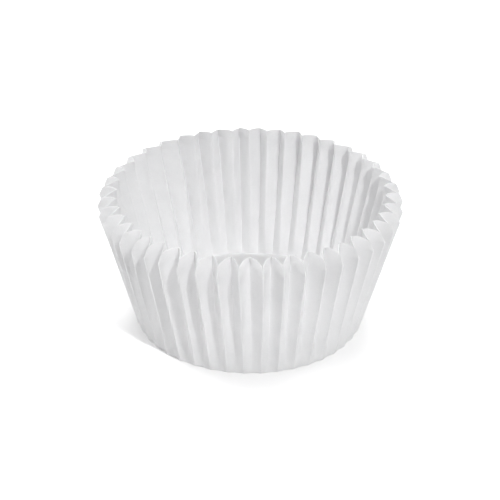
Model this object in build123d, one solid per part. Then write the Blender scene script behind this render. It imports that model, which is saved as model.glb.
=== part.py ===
from build123d import *
import math
import os

# Fluted paper liner for a cupcake: one disc of greaseproof paper pressed into a flat round base and a pleated wall.
# Millimetres, +Z up. The origin is the centre of the base's underside.

# Driving dimensions
PLEATS = 44
PAPER = 0.08
BASE_RADIUS = 25.0
RIDGE_TOP_RADIUS = 32.7
RIDGE_TOP_HEIGHT = 28.7
RIM_RIDGE_RADIUS = 31.3
RIM_RIDGE_HEIGHT = 30.0
VALLEY_TOP_RADIUS = 29.4
RIM_VALLEY_RADIUS = 28.9
RIM_VALLEY_HEIGHT = 30.6

HALF_PITCH = math.pi / PLEATS

# The wall is ruled between three rings of fold points: the base corner, the level where each outer fold
# turns inwards, and the cut edge. Each entry is (radius, height) of the outer face.
RIDGE_LINE = [
    (BASE_RADIUS, 0.0),
    (RIDGE_TOP_RADIUS, RIDGE_TOP_HEIGHT),
    (RIM_RIDGE_RADIUS, RIM_RIDGE_HEIGHT),
]
VALLEY_LINE = [
    (BASE_RADIUS, 0.0),
    (VALLEY_TOP_RADIUS, RIM_VALLEY_HEIGHT * RIDGE_TOP_HEIGHT / RIM_RIDGE_HEIGHT),
    (RIM_VALLEY_RADIUS, RIM_VALLEY_HEIGHT),
]


def radial_paper(level):
    """Radial distance between the two faces of the paper where it is folded at this level."""
    ridge_radius = RIDGE_LINE[level][0]
    valley_radius = VALLEY_LINE[level][0]
    half_width = HALF_PITCH * (ridge_radius + valley_radius) / 2
    half_fold_angle = math.atan2(half_width, ridge_radius - valley_radius)
    return PAPER / math.sin(half_fold_angle)


def fold_point(index, level, inside):
    """Point where fold number index crosses a level; even folds are ridges and odd ones are valleys."""
    line = VALLEY_LINE if index % 2 else RIDGE_LINE
    radius, height = line[level]
    if inside:
        radius -= radial_paper(level)
    if inside and level == 0:
        height += PAPER
    angle = index * HALF_PITCH
    return Vector(radius * math.cos(angle), radius * math.sin(angle), height)


def ring(level, inside):
    """All the fold points around the liner at one level."""
    return [fold_point(index, level, inside) for index in range(2 * PLEATS)]


def strip(lower, upper):
    """Ruled faces between two rings, one for each half pleat."""
    faces = []
    for index in range(len(lower)):
        after = (index + 1) % len(lower)
        lower_edge = Edge.make_line(lower[index], lower[after])
        upper_edge = Edge.make_line(upper[index], upper[after])
        faces.append(Face.make_surface_from_curves(lower_edge, upper_edge))
    return faces


def disc(points):
    """Flat face bounded by a ring of points at one height."""
    return Face(Wire.make_polygon(points, close=True))


def make_liner():
    """The whole liner: outer face, cut edge, inner face and the two faces of the base."""
    outer = [ring(level, False) for level in range(len(RIDGE_LINE))]
    inner = [ring(level, True) for level in range(len(RIDGE_LINE))]
    faces = [disc(outer[0]), disc(inner[0])]
    for level in range(len(RIDGE_LINE) - 1):
        faces += strip(outer[level], outer[level + 1])
        faces += strip(inner[level], inner[level + 1])
    faces += strip(outer[-1], inner[-1])
    return Solid(Shell(faces))


os.makedirs("parts", exist_ok=True)
liner = make_liner()
export_step(liner, "parts/liner.step")
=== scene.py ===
import math

import bpy
import numpy as np
from bpy.props import FloatProperty, FloatVectorProperty, IntProperty, PointerProperty
from mathutils import Matrix, Vector


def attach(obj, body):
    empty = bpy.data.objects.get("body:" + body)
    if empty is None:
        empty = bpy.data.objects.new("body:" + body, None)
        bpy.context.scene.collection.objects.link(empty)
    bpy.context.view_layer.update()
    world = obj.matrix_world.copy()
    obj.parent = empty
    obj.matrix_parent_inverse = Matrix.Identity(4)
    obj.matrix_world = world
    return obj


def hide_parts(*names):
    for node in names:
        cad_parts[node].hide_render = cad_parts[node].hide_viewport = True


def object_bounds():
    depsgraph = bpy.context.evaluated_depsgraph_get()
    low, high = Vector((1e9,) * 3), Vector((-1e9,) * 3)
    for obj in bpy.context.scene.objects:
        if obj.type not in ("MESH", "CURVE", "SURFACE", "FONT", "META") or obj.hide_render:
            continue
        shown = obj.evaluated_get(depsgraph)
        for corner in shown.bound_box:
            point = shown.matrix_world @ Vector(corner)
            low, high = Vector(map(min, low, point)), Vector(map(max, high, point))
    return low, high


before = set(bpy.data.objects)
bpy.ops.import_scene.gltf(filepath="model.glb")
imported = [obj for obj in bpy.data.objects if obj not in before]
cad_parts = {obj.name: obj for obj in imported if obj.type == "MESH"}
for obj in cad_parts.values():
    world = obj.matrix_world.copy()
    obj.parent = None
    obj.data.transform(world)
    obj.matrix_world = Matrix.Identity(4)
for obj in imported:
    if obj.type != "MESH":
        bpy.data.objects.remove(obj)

bl_info = {
    "name": "Fluted Cupcake Liner",
    "version": (1, 0, 0),
    "blender": (4, 5, 0),
    "location": "View3D > Sidebar > Liner",
    "description": "A pleated greaseproof paper cup for baking a cupcake, on a pale studio floor",
    "category": "Object",
}

MM = 0.001
TURN = 2 * math.pi
FRONT = 0.75 * TURN  # direction of the side that faces the camera
CAD_LOW, CAD_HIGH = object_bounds()
CAD_RADIUS = CAD_HIGH.x
CAD_HEIGHT = CAD_HIGH.z
MIDDLE = Vector((0, 0, 15 * MM))  # what the camera and the lights point at

# How the rim's folds crowd to one side: waves round the cup, share of the swing, phase in degrees.
CROWDING = ((1, 1.0, -87), (2, 0.2, 62), (3, 0.23, -84))

# Rows of points up the wall, as shares of its slant.
FOOT = 0.08  # top of the closely spaced rows at the foot
BAND = 0.90  # bottom of the closely spaced rows at the rim
PAST = 0.1  # how far the fold lines run on past the foot and the cut edge
ROUNDING = 3  # steps of a fold line that are averaged each way, which rounds its corners

# Across one facet, from its outer fold at 0 to its inner fold at 1.
FACET_STEPS = np.array([0.0, 0.04, 0.08, 0.22, 0.42, 0.64, 0.86, 0.96])
TIP = 0.08  # width of the blunt tip at the outer fold
TIP_TOP = 0.05  # width of that tip's nearly flat top
TIP_DROP = 0.02  # how far the top drops at its edge, as a share of the pleat's depth
SWELL = 0.7  # how far the rest of the facet bulges, from flat at 0 to a quarter sine wave at 1
LOBE = 0.86  # part of the facet that is a lobe at the cut edge, and not the slit at the inner fold
LOBE_WIDTH = 0.93  # how far across the lobe reaches
LOBE_DEPTH = 0.86  # how far down the pleat it reaches
LOBE_FULLNESS = 0.75  # how round it is from above, from a straight side at 0 to an arch at 1
LOBE_ARCH = 1.5  # how high its cut edge arches, from a straight rise at 0 to an arch at 1 and higher past 1

CREASES = 11  # bends up one crumpled groove
CREASED = (0.22, 0.82)  # part of the wall where they lie
CREASE_STEP = 0.12  # where across the facet the creases are deepest
CREASE_WIDTH = 0.16  # how far they spread from there
CREASE_LEAST = 0.3  # depth of the least crumpled groove, as a share of the most crumpled one's
SHARP_FOLD = math.radians(24)  # folds that turn more than this are shaded as creases

BASE_RINGS = (0.985, 0.96, 0.92, 0.84, 0.7, 0.45, 0.2)  # rings of points in the base, as shares of its radius
FLOOR_HALF = 3.0  # half the floor's width, in metres

# Fibre grain.
TONE_RANGE = (0.7, 1.3)  # both noises added up: thin spots at the first value, plain paper at the second
GLOSS_SPREAD = 0.12  # how much rougher the cloudiest spots are

# Soft boxes: setting on the stage, direction and elevation in degrees, distance and width in metres.
SOFT_BOXES = (
    ("key", 296, 50, 0.55, 0.04),
    ("fill", 228, 50, 0.55, 0.06),
    ("front", 268, 50, 0.55, 0.12),
    ("left", 203, 34, 0.55, 0.14),
    ("right", 338, 34, 0.55, 0.14),
    ("back_left", 150, 36, 0.7, 0.3),
    ("back_right", 30, 36, 0.7, 0.3),
    ("back", 90, 30, 0.8, 0.5),
    ("top", 90, 89, 0.7, 0.4),
)


def length(name, description, default):
    """A size in metres that shows in the sidebar."""
    return FloatProperty(name=name, description=description, default=default, unit="LENGTH", precision=5)


def angle(name, description, degrees):
    """An angle that shows in the sidebar in degrees."""
    return FloatProperty(name=name, description=description, default=math.radians(degrees), unit="ROTATION")


def share(name, description, default, top=1.0):
    """A plain number from 0 up to its top."""
    return FloatProperty(name=name, description=description, default=default, min=0.0, max=top)


class CupSizes(bpy.types.PropertyGroup):
    """Sizes of the paper cup."""

    pleats: IntProperty(name="Pleats", description="Number of pleats around the wall", default=44, min=12)
    paper: length("Paper", "Thickness of the paper", 0.08 * MM)
    base_radius: length("Base radius", "Radius of the flat base", 25.0 * MM)
    slant: length("Paper up the wall", "Paper from the base's edge to the cut edge", 31.4 * MM)
    stretch: share("Stretch", "Pleat depth over what flat, unstretched paper would give", 1.27, 2.0)
    kink: share("Kink", "Where the ridges bend inwards, as a share of that paper", 0.912)
    ridge_top: length("Ridge top radius", "Outer fold at its widest", CAD_RADIUS - 0.06 * MM)
    ridge_top_height: length("Ridge top height", "Outer fold at its widest", CAD_HEIGHT - 3.0 * MM)
    rim_ridge: length("Rim ridge radius", "Outer fold at the cut edge", CAD_RADIUS - 0.95 * MM)
    rim_ridge_height: length("Rim ridge height", "Outer fold at the cut edge", CAD_HEIGHT - 1.0 * MM)
    rim_valley: length("Rim valley radius", "Inner fold at the cut edge", 28.4 * MM)
    rim_valley_height: length("Rim valley height", "Inner fold at the cut edge", CAD_HEIGHT - 0.2 * MM)


class PleatShape(bpy.types.PropertyGroup):
    """How evenly the pleats were pressed."""

    seed: IntProperty(name="Seed", description="Number that fixes the random unevenness", default=7)
    first: angle("First ridge", "Direction of the first outer fold at the base", 275.6)
    swing: angle("Rim swing", "How far the rim's pleats crowd to one side", 5.8)
    base_swing: angle("Base swing", "Half the turn of the base's pleats at the back", 0.75)
    rim_jitter: angle("Rim jitter", "Random turn of each fold at the rim", 0.35)
    base_jitter: angle("Base jitter", "Random turn of each fold at the base", 0.15)
    waver: angle("Waver", "Random sideways bow of each fold half way up", 0.25)
    depth_jitter: length("Depth jitter", "Random change of each fold's radius at the rim", 0.06 * MM)
    height_jitter: length("Height jitter", "Random change of each fold's height at the rim", 0.08 * MM)
    lift: length("Rim lift", "How far the cut edge stands up between two folds", 0.05 * MM)
    pinch: share("Pinch", "Depth of the blunt tip at each outer fold, as a share of the pleat's depth", 0.12)
    crumple: length("Crumple", "Depth of the small creases in the crumpled grooves", 0.22 * MM)
    crumple_at: angle("Crumple direction", "Direction of the crumpled part of the wall", 88.0)
    crumple_spread: angle("Crumple spread", "Half width of the crumpled part", 38.0)


class PaperFinish(bpy.types.PropertyGroup):
    """Colour and surface of the greaseproof paper."""

    colour: FloatVectorProperty(
        name="Paper",
        description="Colour of the bleached paper",
        default=(0.89, 0.89, 0.893),
        subtype="COLOR",
    )
    shade: FloatVectorProperty(
        name="Thin spots",
        description="Colour where the fibres lie thin",
        default=(0.85, 0.85, 0.855),
        subtype="COLOR",
    )
    roughness: share("Roughness", "Roughness of the calendered surface", 0.62)
    glow: share("Glow", "Share of the light that passes through the sheet", 0.42)
    grain: share("Grain", "Depth of the fibre grain", 0.25)


class StudioStage(bpy.types.PropertyGroup):
    """Camera, lights and floor."""

    distance: length("Camera distance", "From the camera to the middle of the cup", 342.0 * MM)
    elevation: angle("Camera elevation", "Height of the camera above the floor, as an angle", 30.32)
    roll: angle("Camera roll", "Turn of the camera about its own line of sight", 0.42)
    lens: FloatProperty(
        name="Lens", description="Focal length in millimetres on a 36 mm sensor", default=113.0, unit="CAMERA"
    )
    shift: share("Camera shift", "How far the picture is moved up, as a share of its width", 0.0032)
    key: share("Key light", "Power of the light in front on the right, in watts", 1.62, 100.0)
    fill: share("Fill light", "Power of the light in front on the left, in watts", 0.08, 100.0)
    front: share("Front light", "Power of the light above the camera, in watts", 0.08, 100.0)
    left: share("Left light", "Power of the low light on the left, in watts", 0.4, 100.0)
    right: share("Right light", "Power of the low light on the right, in watts", 0.03, 100.0)
    back_left: share("Back left light", "Power of the soft light behind on the left, in watts", 2.2, 100.0)
    back_right: share("Back right light", "Power of the soft light behind on the right, in watts", 0.9, 100.0)
    back: share("Back light", "Power of the soft light behind, in watts", 4.0, 100.0)
    top: share("Top light", "Power of the overhead soft light, in watts", 1.9, 100.0)
    room: share("Room light", "Brightness of the white room around the stage", 0.12, 10.0)
    floor_colour: FloatVectorProperty(
        name="Floor", description="Colour of the floor", default=(0.9, 0.9, 0.9), subtype="COLOR"
    )


# ---------------------------------------------------------------- pleated paper


def pleat_drift(direction, swing):
    """How far the rim's folds stand from even spacing, because the cup was squeezed from one side."""
    drift = 0.0
    for waves, part, phase in CROWDING:
        drift = drift + part * swing * np.sin(waves * direction + math.radians(phase))
    return drift


def smoothed(values, steps):
    """Rounds the corners of an evenly spaced line by averaging over a few steps each way."""
    padded = np.pad(values, steps, mode="edge")
    window = np.ones(2 * steps + 1) / (2 * steps + 1)
    return np.convolve(padded, window, mode="valid")


def pleat_depth(sizes, ridge, slant):
    """Pleat depth that uses up the paper.

    A half pleat's strip of the flat disc is wider than its part of the girth. Its depth uses the rest."""
    part = math.pi / sizes.pleats
    paper = part * (sizes.base_radius + np.maximum(slant, 0.0))
    depth = 0.0 * slant
    for _ in range(5):
        width = part * (ridge - depth / 2)
        depth = np.sqrt(np.maximum(paper**2 - width**2, 0.0))
    return depth


def fold_profiles(sizes):
    """Radius and height of a ridge and of a valley, from inside the base's edge to past the cut edge."""
    at = np.linspace(-PAST, 1 + PAST, 601)
    slant = at * sizes.slant
    stations = [-PAST, 0.0, sizes.kink, 1.0, 1 + PAST]
    lean = (sizes.rim_ridge - sizes.ridge_top) * PAST / (1 - sizes.kink)
    rise = (sizes.rim_ridge_height - sizes.ridge_top_height) * PAST / (1 - sizes.kink)
    inside, base = sizes.base_radius - PAST * sizes.slant, sizes.base_radius
    top, rim = sizes.ridge_top, sizes.rim_ridge
    top_height, rim_height = sizes.ridge_top_height, sizes.rim_ridge_height
    ridge = np.interp(at, stations, [inside, base, top, rim, rim + lean])
    ridge_height = np.interp(at, stations, [0.0, 0.0, top_height, rim_height, rim_height + rise])
    straight = np.interp(at, [-PAST, 0.0, sizes.kink], [inside, base, top])
    valley = straight - sizes.stretch * pleat_depth(sizes, straight, slant)
    below = at <= sizes.kink
    joint = valley[below][-1]
    band_valley = joint + (sizes.rim_valley - joint) * (at - sizes.kink) / (1 - sizes.kink)
    valley = np.where(below, valley, band_valley)
    valley_height = sizes.rim_valley_height * np.maximum(at, 0.0)
    return at, [smoothed(line, ROUNDING) for line in (ridge, ridge_height, valley, valley_height)]


def wall_levels():
    """Heights up the wall as shares of its slant, closer together at the foot, kink and rim."""
    foot = np.linspace(0.0, FOOT, 10)
    wall = np.linspace(FOOT, BAND, 34)[1:]
    band = np.linspace(BAND, 1.0, 12)[1:]
    return np.concatenate([foot, wall, band])


def fold_lines(sizes, shape, levels, rng):
    """Direction, radius and height of every fold at every level; even folds are ridges, odd ones valleys."""
    folds = 2 * sizes.pleats
    number = np.arange(folds)
    even = shape.first + number * TURN / folds
    at_base = even - shape.base_swing * (1 - np.cos(even - FRONT))
    at_base = at_base + shape.base_jitter * rng.standard_normal(folds)
    at_rim = even + pleat_drift(even, shape.swing) + shape.rim_jitter * rng.standard_normal(folds)
    bow = shape.waver * rng.standard_normal(folds)
    out = shape.depth_jitter * rng.standard_normal(folds)
    up = np.abs(shape.height_jitter * rng.standard_normal(folds))
    at, profiles = fold_profiles(sizes)
    ridge, ridge_height, valley, valley_height = [np.interp(levels, at, line) for line in profiles]
    direction = at_base + (at_rim - at_base) * levels[:, None] + bow * np.sin(math.pi * levels)[:, None]
    is_ridge = number % 2 == 0
    out = np.where(is_ridge, -np.abs(out), out)
    radius = np.where(is_ridge, ridge[:, None], valley[:, None]) + out * levels[:, None]
    height = np.where(is_ridge, ridge_height[:, None], valley_height[:, None]) - up * levels[:, None]
    return direction, radius, height


def crumple_noise(levels, rng):
    """Small sharp zigzags up a groove, as where paper buckles."""
    stations = np.sort(rng.uniform(*CREASED, CREASES))
    heights = rng.uniform(-1, 1, CREASES)
    heights[0] = heights[-1] = 0.0
    return np.interp(levels, stations, heights, left=0.0, right=0.0)


def bent(straight, curved, amount):
    """A line that is the straight one at an amount of 0, the curved one at 1, and past the curve above 1."""
    return straight + amount * (curved - straight)


def wall_facet(across, pinch):
    """Shares of the way across and down a facet of the wall, a blunt tip and then a swollen panel."""
    flat = np.interp(across, [0.0, TIP, 1.0], [0.0, 0.0, 1.0])
    tip_across = np.interp(across, [0.0, TIP / 2, TIP], [0.0, TIP_TOP, TIP])
    tip_down = np.interp(across, [0.0, TIP / 2, TIP], [0.0, TIP_DROP, pinch])
    panel_down = bent(flat, np.sin(0.5 * math.pi * flat), SWELL)
    return tip_across + (1 - TIP) * flat, tip_down + (1 - pinch) * panel_down


def rim_facet(across):
    """Shares of the way across, down and up a facet at the cut edge, a round lobe and then a slit."""
    lobe = np.minimum(across / LOBE, 1.0)
    slit = np.maximum(across - LOBE, 0.0) / (1 - LOBE)
    arch = (np.sin(0.5 * math.pi * lobe) + np.sqrt(1 - (1 - lobe) ** 2)) / 2
    along = LOBE_WIDTH * lobe + (1 - LOBE_WIDTH) * slit
    down = LOBE_DEPTH * bent(lobe, arch, LOBE_FULLNESS) + (1 - LOBE_DEPTH) * slit
    return along, down, bent(lobe, arch, LOBE_ARCH)


def facet_paths(across, pinch, band):
    """Shares of the way across, down and up a facet at each step, for each level.

    Band is how far each level is into the rim: 0 in the wall and 1 at the cut edge."""
    wall_across, wall_down = wall_facet(across, pinch)
    rim_across, rim_down, rim_up = rim_facet(across)
    into = band[:, None]
    return bent(wall_across, rim_across, into), bent(wall_down, rim_down, into), bent(across, rim_up, into)


def pleated_wall(sizes, shape):
    """Points of the wall: one row for each level, one column for each step round the folds."""
    rng = np.random.default_rng(shape.seed)
    levels = wall_levels()
    direction, radius, height = fold_lines(sizes, shape, levels, rng)
    folds = 2 * sizes.pleats
    band = np.clip((levels - sizes.kink) / (1 - sizes.kink), 0, 1)
    rows = np.empty((len(levels), folds, len(FACET_STEPS), 3))
    for fold in range(folds):
        after = (fold + 1) % folds
        across = FACET_STEPS if fold % 2 == 0 else 1 - FACET_STEPS
        along, down, up = facet_paths(across, shape.pinch, band)
        ridge, valley = (fold, after) if fold % 2 == 0 else (after, fold)
        start = direction[:, ridge]
        sweep = np.array([math.remainder(step, TURN) for step in direction[:, valley] - start])
        turn = start[:, None] + along * sweep[:, None]
        half = 0.5 * sweep[:, None]
        middle = start[:, None] + half
        reach = radius[:, ridge, None] + down * (radius[:, valley] - radius[:, ridge])[:, None]
        chord = reach * np.cos(half) / np.cos(turn - middle)
        rows[:, fold, :, 0] = chord * np.cos(turn)
        rows[:, fold, :, 1] = chord * np.sin(turn)
        rise = height[:, ridge, None] + up * (height[:, valley] - height[:, ridge])[:, None]
        hump = 27 / 4 * across**2 * (1 - across)  # 0 at both folds and 1 at its highest
        rows[:, fold, :, 2] = rise + shape.lift * band[:, None] * hump
    crumple_grooves(rows, shape, direction, levels, rng)
    return rows.reshape(len(levels), -1, 3)


def crumple_grooves(rows, shape, direction, levels, rng):
    """Buckles the paper beside the ridges in one part of the wall."""
    folds = rows.shape[1]
    near = np.exp(-((FACET_STEPS - CREASE_STEP) / CREASE_WIDTH) ** 2)
    for ridge in range(0, folds, 2):
        off = math.remainder(direction[0, ridge] - shape.crumple_at, TURN)
        depth = shape.crumple * math.exp(-(off / shape.crumple_spread) ** 2) * rng.uniform(CREASE_LEAST, 1.0)
        shift = depth * crumple_noise(levels, rng)
        sideways = np.stack([-np.sin(direction[:, ridge]), np.cos(direction[:, ridge]), 0 * levels], axis=-1)
        for step, weight in enumerate(near):
            rows[:, ridge, step] += (weight * shift)[:, None] * sideways
            if step:
                rows[:, ridge - 1, len(near) - step] += (weight * shift)[:, None] * sideways


def base_rings(first_ring, sizes):
    """Rings of the base from the wall's foot inwards."""
    rings = []
    for part in BASE_RINGS:
        ring = first_ring * part
        ring[:, 2] = sizes.paper / 2
        rings.append(ring)
    return rings


def cup_mesh(sizes, shape):
    """The middle surface of the paper as one open sheet: base, wall and rim."""
    wall = pleated_wall(sizes, shape)
    wall[:, :, 2] = np.maximum(wall[:, :, 2], 0.0) + sizes.paper / 2
    rings = base_rings(wall[0], sizes)[::-1] + list(wall)
    count = wall.shape[1]
    points = np.concatenate(rings)
    faces = [tuple(range(count))]
    for ring in range(len(rings) - 1):
        low = ring * count
        for step in range(count):
            after = (step + 1) % count
            faces.append((low + step, low + count + step, low + count + after, low + after))
    mesh = bpy.data.meshes.new("liner_paper")
    mesh.from_pydata([tuple(point) for point in points], [], faces)
    mesh.update()
    return mesh


def give_thickness(piece, paper):
    """Turns the middle surface into a sheet of real thickness."""
    solid = piece.modifiers.new("paper_thickness", "SOLIDIFY")
    solid.thickness = paper
    solid.offset = 0.0
    solid.use_even_offset = False
    bpy.context.view_layer.objects.active = piece
    piece.select_set(True)
    bpy.ops.object.modifier_apply(modifier=solid.name)


# ---------------------------------------------------------------- materials


def group_socket(group, name, kind, direction, value=None):
    """Adds one named socket to a node group."""
    socket = group.interface.new_socket(name=name, in_out=direction, socket_type=kind)
    if value is not None:
        socket.default_value = value


def fibre_grain_group():
    """Node group: cloudy tone and fine fibre relief of a sheet, from the object's own coordinates."""
    group = bpy.data.node_groups.new("fibre_grain", "ShaderNodeTree")
    group_socket(group, "Main Colour", "NodeSocketColor", "INPUT", (0.8, 0.8, 0.8, 1))
    group_socket(group, "Thin Colour", "NodeSocketColor", "INPUT", (0.7, 0.7, 0.7, 1))
    group_socket(group, "Cloud Scale", "NodeSocketFloat", "INPUT", 300.0)
    group_socket(group, "Fibre Scale", "NodeSocketFloat", "INPUT", 2500.0)
    group_socket(group, "Roughness", "NodeSocketFloat", "INPUT", 0.6)
    group_socket(group, "Colour", "NodeSocketColor", "OUTPUT")
    group_socket(group, "Roughness", "NodeSocketFloat", "OUTPUT")
    group_socket(group, "Height", "NodeSocketFloat", "OUTPUT")
    nodes, links = group.nodes, group.links
    inputs = nodes.new("NodeGroupInput")
    outputs = nodes.new("NodeGroupOutput")
    place = nodes.new("ShaderNodeTexCoord")
    clouds = nodes.new("ShaderNodeTexNoise")
    clouds.inputs["Detail"].default_value = 4
    fibres = nodes.new("ShaderNodeTexNoise")
    fibres.inputs["Detail"].default_value = 3
    fibres.inputs["Distortion"].default_value = 0.6
    for texture, scale in ((clouds, "Cloud Scale"), (fibres, "Fibre Scale")):
        links.new(place.outputs["Object"], texture.inputs["Vector"])
        links.new(inputs.outputs[scale], texture.inputs["Scale"])
    both = nodes.new("ShaderNodeMath")
    both.operation = "ADD"
    links.new(clouds.outputs["Fac"], both.inputs[0])
    links.new(fibres.outputs["Fac"], both.inputs[1])
    spread = nodes.new("ShaderNodeMapRange")
    spread.inputs["From Min"].default_value = TONE_RANGE[0]
    spread.inputs["From Max"].default_value = TONE_RANGE[1]
    links.new(both.outputs[0], spread.inputs["Value"])
    tone = nodes.new("ShaderNodeMix")
    tone.data_type = "RGBA"
    links.new(spread.outputs["Result"], tone.inputs["Factor"])
    links.new(inputs.outputs["Thin Colour"], tone.inputs["A"])
    links.new(inputs.outputs["Main Colour"], tone.inputs["B"])
    links.new(tone.outputs["Result"], outputs.inputs["Colour"])
    gloss = nodes.new("ShaderNodeMath")
    gloss.operation = "MULTIPLY_ADD"
    gloss.inputs[1].default_value = GLOSS_SPREAD
    links.new(clouds.outputs["Fac"], gloss.inputs[0])
    links.new(inputs.outputs["Roughness"], gloss.inputs[2])
    links.new(gloss.outputs[0], outputs.inputs["Roughness"])
    links.new(fibres.outputs["Fac"], outputs.inputs["Height"])
    return group


def grained_material(name, group, main, thin, roughness, cloud_scale, fibre_scale):
    """A material whose colour, roughness and bump come from the fibre grain group."""
    material = bpy.data.materials.new(name)
    material.use_nodes = True
    nodes, links = material.node_tree.nodes, material.node_tree.links
    shader = nodes["Principled BSDF"]
    grain = nodes.new("ShaderNodeGroup")
    grain.node_tree = group
    grain.inputs["Main Colour"].default_value = (*main, 1)
    grain.inputs["Thin Colour"].default_value = (*thin, 1)
    grain.inputs["Cloud Scale"].default_value = cloud_scale
    grain.inputs["Fibre Scale"].default_value = fibre_scale
    grain.inputs["Roughness"].default_value = roughness
    bump = nodes.new("ShaderNodeBump")
    links.new(grain.outputs["Colour"], shader.inputs["Base Color"])
    links.new(grain.outputs["Roughness"], shader.inputs["Roughness"])
    links.new(grain.outputs["Height"], bump.inputs["Height"])
    links.new(bump.outputs["Normal"], shader.inputs["Normal"])
    return material, shader, grain, bump


def paper_material(finish, group):
    """Bleached greaseproof paper: matt, faintly cloudy, and it lets some light through."""
    material, shader, grain, bump = grained_material(
        "greaseproof_paper",
        group,
        finish.colour,
        finish.shade,
        finish.roughness,
        cloud_scale=260.0,
        fibre_scale=3200.0,
    )
    nodes, links = material.node_tree.nodes, material.node_tree.links
    shader.inputs["Specular IOR Level"].default_value = 0.3
    bump.inputs["Strength"].default_value = finish.grain
    bump.inputs["Distance"].default_value = 0.03 * MM
    through = nodes.new("ShaderNodeBsdfTranslucent")
    links.new(grain.outputs["Colour"], through.inputs["Color"])
    both = nodes.new("ShaderNodeMixShader")
    both.inputs["Fac"].default_value = finish.glow
    links.new(shader.outputs["BSDF"], both.inputs[1])
    links.new(through.outputs["BSDF"], both.inputs[2])
    links.new(both.outputs["Shader"], nodes["Material Output"].inputs["Surface"])
    return material


def floor_material(stage, group):
    """A pale matt table top."""
    pale = tuple(stage.floor_colour)
    material, shader, _, bump = grained_material(
        "pale_floor", group, pale, pale, roughness=0.8, cloud_scale=6.0, fibre_scale=60.0
    )
    shader.inputs["Specular IOR Level"].default_value = 0.1
    bump.inputs["Strength"].default_value = 0.02
    return material


def grain_group():
    """The fibre grain group, built once."""
    return bpy.data.node_groups.get("fibre_grain") or fibre_grain_group()


# ---------------------------------------------------------------- operators


class LINER_OT_pleated_cup(bpy.types.Operator):
    """Make the pleated paper cup"""

    bl_idname = "liner.pleated_cup"
    bl_label = "Pleated paper cup"

    def execute(self, context):
        scene = context.scene
        cup = bpy.data.objects.new("liner_cup", cup_mesh(scene.cup_sizes, scene.pleat_shape))
        scene.collection.objects.link(cup)
        give_thickness(cup, scene.cup_sizes.paper)
        cup.data.shade_smooth()
        cup.data.set_sharp_from_angle(angle=SHARP_FOLD)
        cup.data.materials.append(paper_material(scene.paper_finish, grain_group()))
        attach(cup, "root")
        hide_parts("liner")
        return {"FINISHED"}


def soft_box(name, place, width, power):
    """A round soft box at a place, facing the cup."""
    lamp = bpy.data.lights.new(name, "AREA")
    lamp.shape = "DISK"
    lamp.size = width
    lamp.energy = power
    box = bpy.data.objects.new(name, lamp)
    box.location = place
    box.rotation_euler = (MIDDLE - place).to_track_quat("-Z", "Y").to_euler()
    bpy.context.scene.collection.objects.link(box)


def around(degrees, elevation, distance):
    """A place round the cup, by direction, elevation and distance from the middle of its base."""
    flat = distance * math.cos(math.radians(elevation))
    height = distance * math.sin(math.radians(elevation))
    turn = math.radians(degrees)
    return Vector((flat * math.cos(turn), flat * math.sin(turn), height))


def make_camera(stage):
    """The camera in front of the cup, looking down on it."""
    camera = bpy.data.objects.new("camera", bpy.data.cameras.new("camera"))
    camera.data.lens = stage.lens
    camera.data.sensor_width = 36.0
    camera.data.shift_y = stage.shift
    camera.data.clip_start = 0.01
    back = Vector((0, -math.cos(stage.elevation), math.sin(stage.elevation)))
    camera.location = MIDDLE + back * stage.distance
    level = (-back).to_track_quat("-Z", "Y").to_matrix()
    camera.rotation_euler = (level @ Matrix.Rotation(stage.roll, 3, "Z")).to_euler()
    bpy.context.scene.collection.objects.link(camera)
    bpy.context.scene.camera = camera


def make_floor(stage):
    """A wide pale floor that the cup stands on."""
    mesh = bpy.data.meshes.new("floor")
    corners = [(x * FLOOR_HALF, y * FLOOR_HALF, 0) for x, y in ((-1, -1), (1, -1), (1, 1), (-1, 1))]
    mesh.from_pydata(corners, [], [(0, 1, 2, 3)])
    mesh.materials.append(floor_material(stage, grain_group()))
    floor = bpy.data.objects.new("floor", mesh)
    floor.location.z = CAD_LOW.z
    bpy.context.scene.collection.objects.link(floor)


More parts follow.
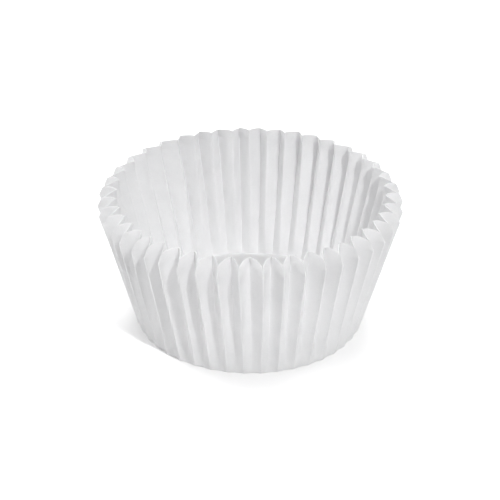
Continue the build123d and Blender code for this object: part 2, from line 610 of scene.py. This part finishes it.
def light_room(stage):
    """The dim white room and the soft boxes."""
    world = bpy.data.worlds.new("white_room")
    world.use_nodes = True
    world.node_tree.nodes["Background"].inputs["Color"].default_value = (1, 1, 1, 1)
    world.node_tree.nodes["Background"].inputs["Strength"].default_value = stage.room
    bpy.context.scene.world = world
    for setting, direction, elevation, distance, width in SOFT_BOXES:
        place = around(direction, elevation, distance)
        soft_box(setting + "_box", place, width, getattr(stage, setting))


class LINER_OT_stage(bpy.types.Operator):
    """Make the floor, the lights and the camera"""

    bl_idname = "liner.stage"
    bl_label = "Studio stage"

    def execute(self, context):
        stage = context.scene.studio_stage
        make_camera(stage)
        make_floor(stage)
        light_room(stage)
        context.scene.view_settings.view_transform = "Standard"
        return {"FINISHED"}


class LINER_PT_sidebar(bpy.types.Panel):
    """Sidebar panel of the liner"""

    bl_idname = "LINER_PT_sidebar"
    bl_label = "Cupcake liner"
    bl_space_type = "VIEW_3D"
    bl_region_type = "UI"
    bl_category = "Liner"

    def draw(self, context):
        scene = context.scene
        groups = (scene.cup_sizes, scene.pleat_shape, scene.paper_finish, scene.studio_stage)
        for group in groups:
            box = self.layout.box()
            for name in group.__annotations__:
                box.prop(group, name)
        for operator in (LINER_OT_pleated_cup, LINER_OT_stage):
            self.layout.operator(operator.bl_idname)


CLASSES = (
    CupSizes,
    PleatShape,
    PaperFinish,
    StudioStage,
    LINER_OT_pleated_cup,
    LINER_OT_stage,
    LINER_PT_sidebar,
)
SETTINGS = {
    "cup_sizes": CupSizes,
    "pleat_shape": PleatShape,
    "paper_finish": PaperFinish,
    "studio_stage": StudioStage,
}


def register():
    """Registers the classes and puts the settings on the scene."""
    for item in CLASSES:
        bpy.utils.register_class(item)
    for name, group in SETTINGS.items():
        setattr(bpy.types.Scene, name, PointerProperty(type=group))


def unregister():
    """Takes the settings and the classes away again."""
    for name in SETTINGS:
        delattr(bpy.types.Scene, name)
    for item in reversed(CLASSES):
        bpy.utils.unregister_class(item)


def write_sizes():
    """Updates the view layer; it writes nothing."""
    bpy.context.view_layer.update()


def main():
    """Makes the cup and the stage in order."""
    register()
    bpy.ops.liner.pleated_cup()
    bpy.ops.liner.stage()
    bpy.context.view_layer.update()
    write_sizes()


if __name__ == "__main__":
    main()
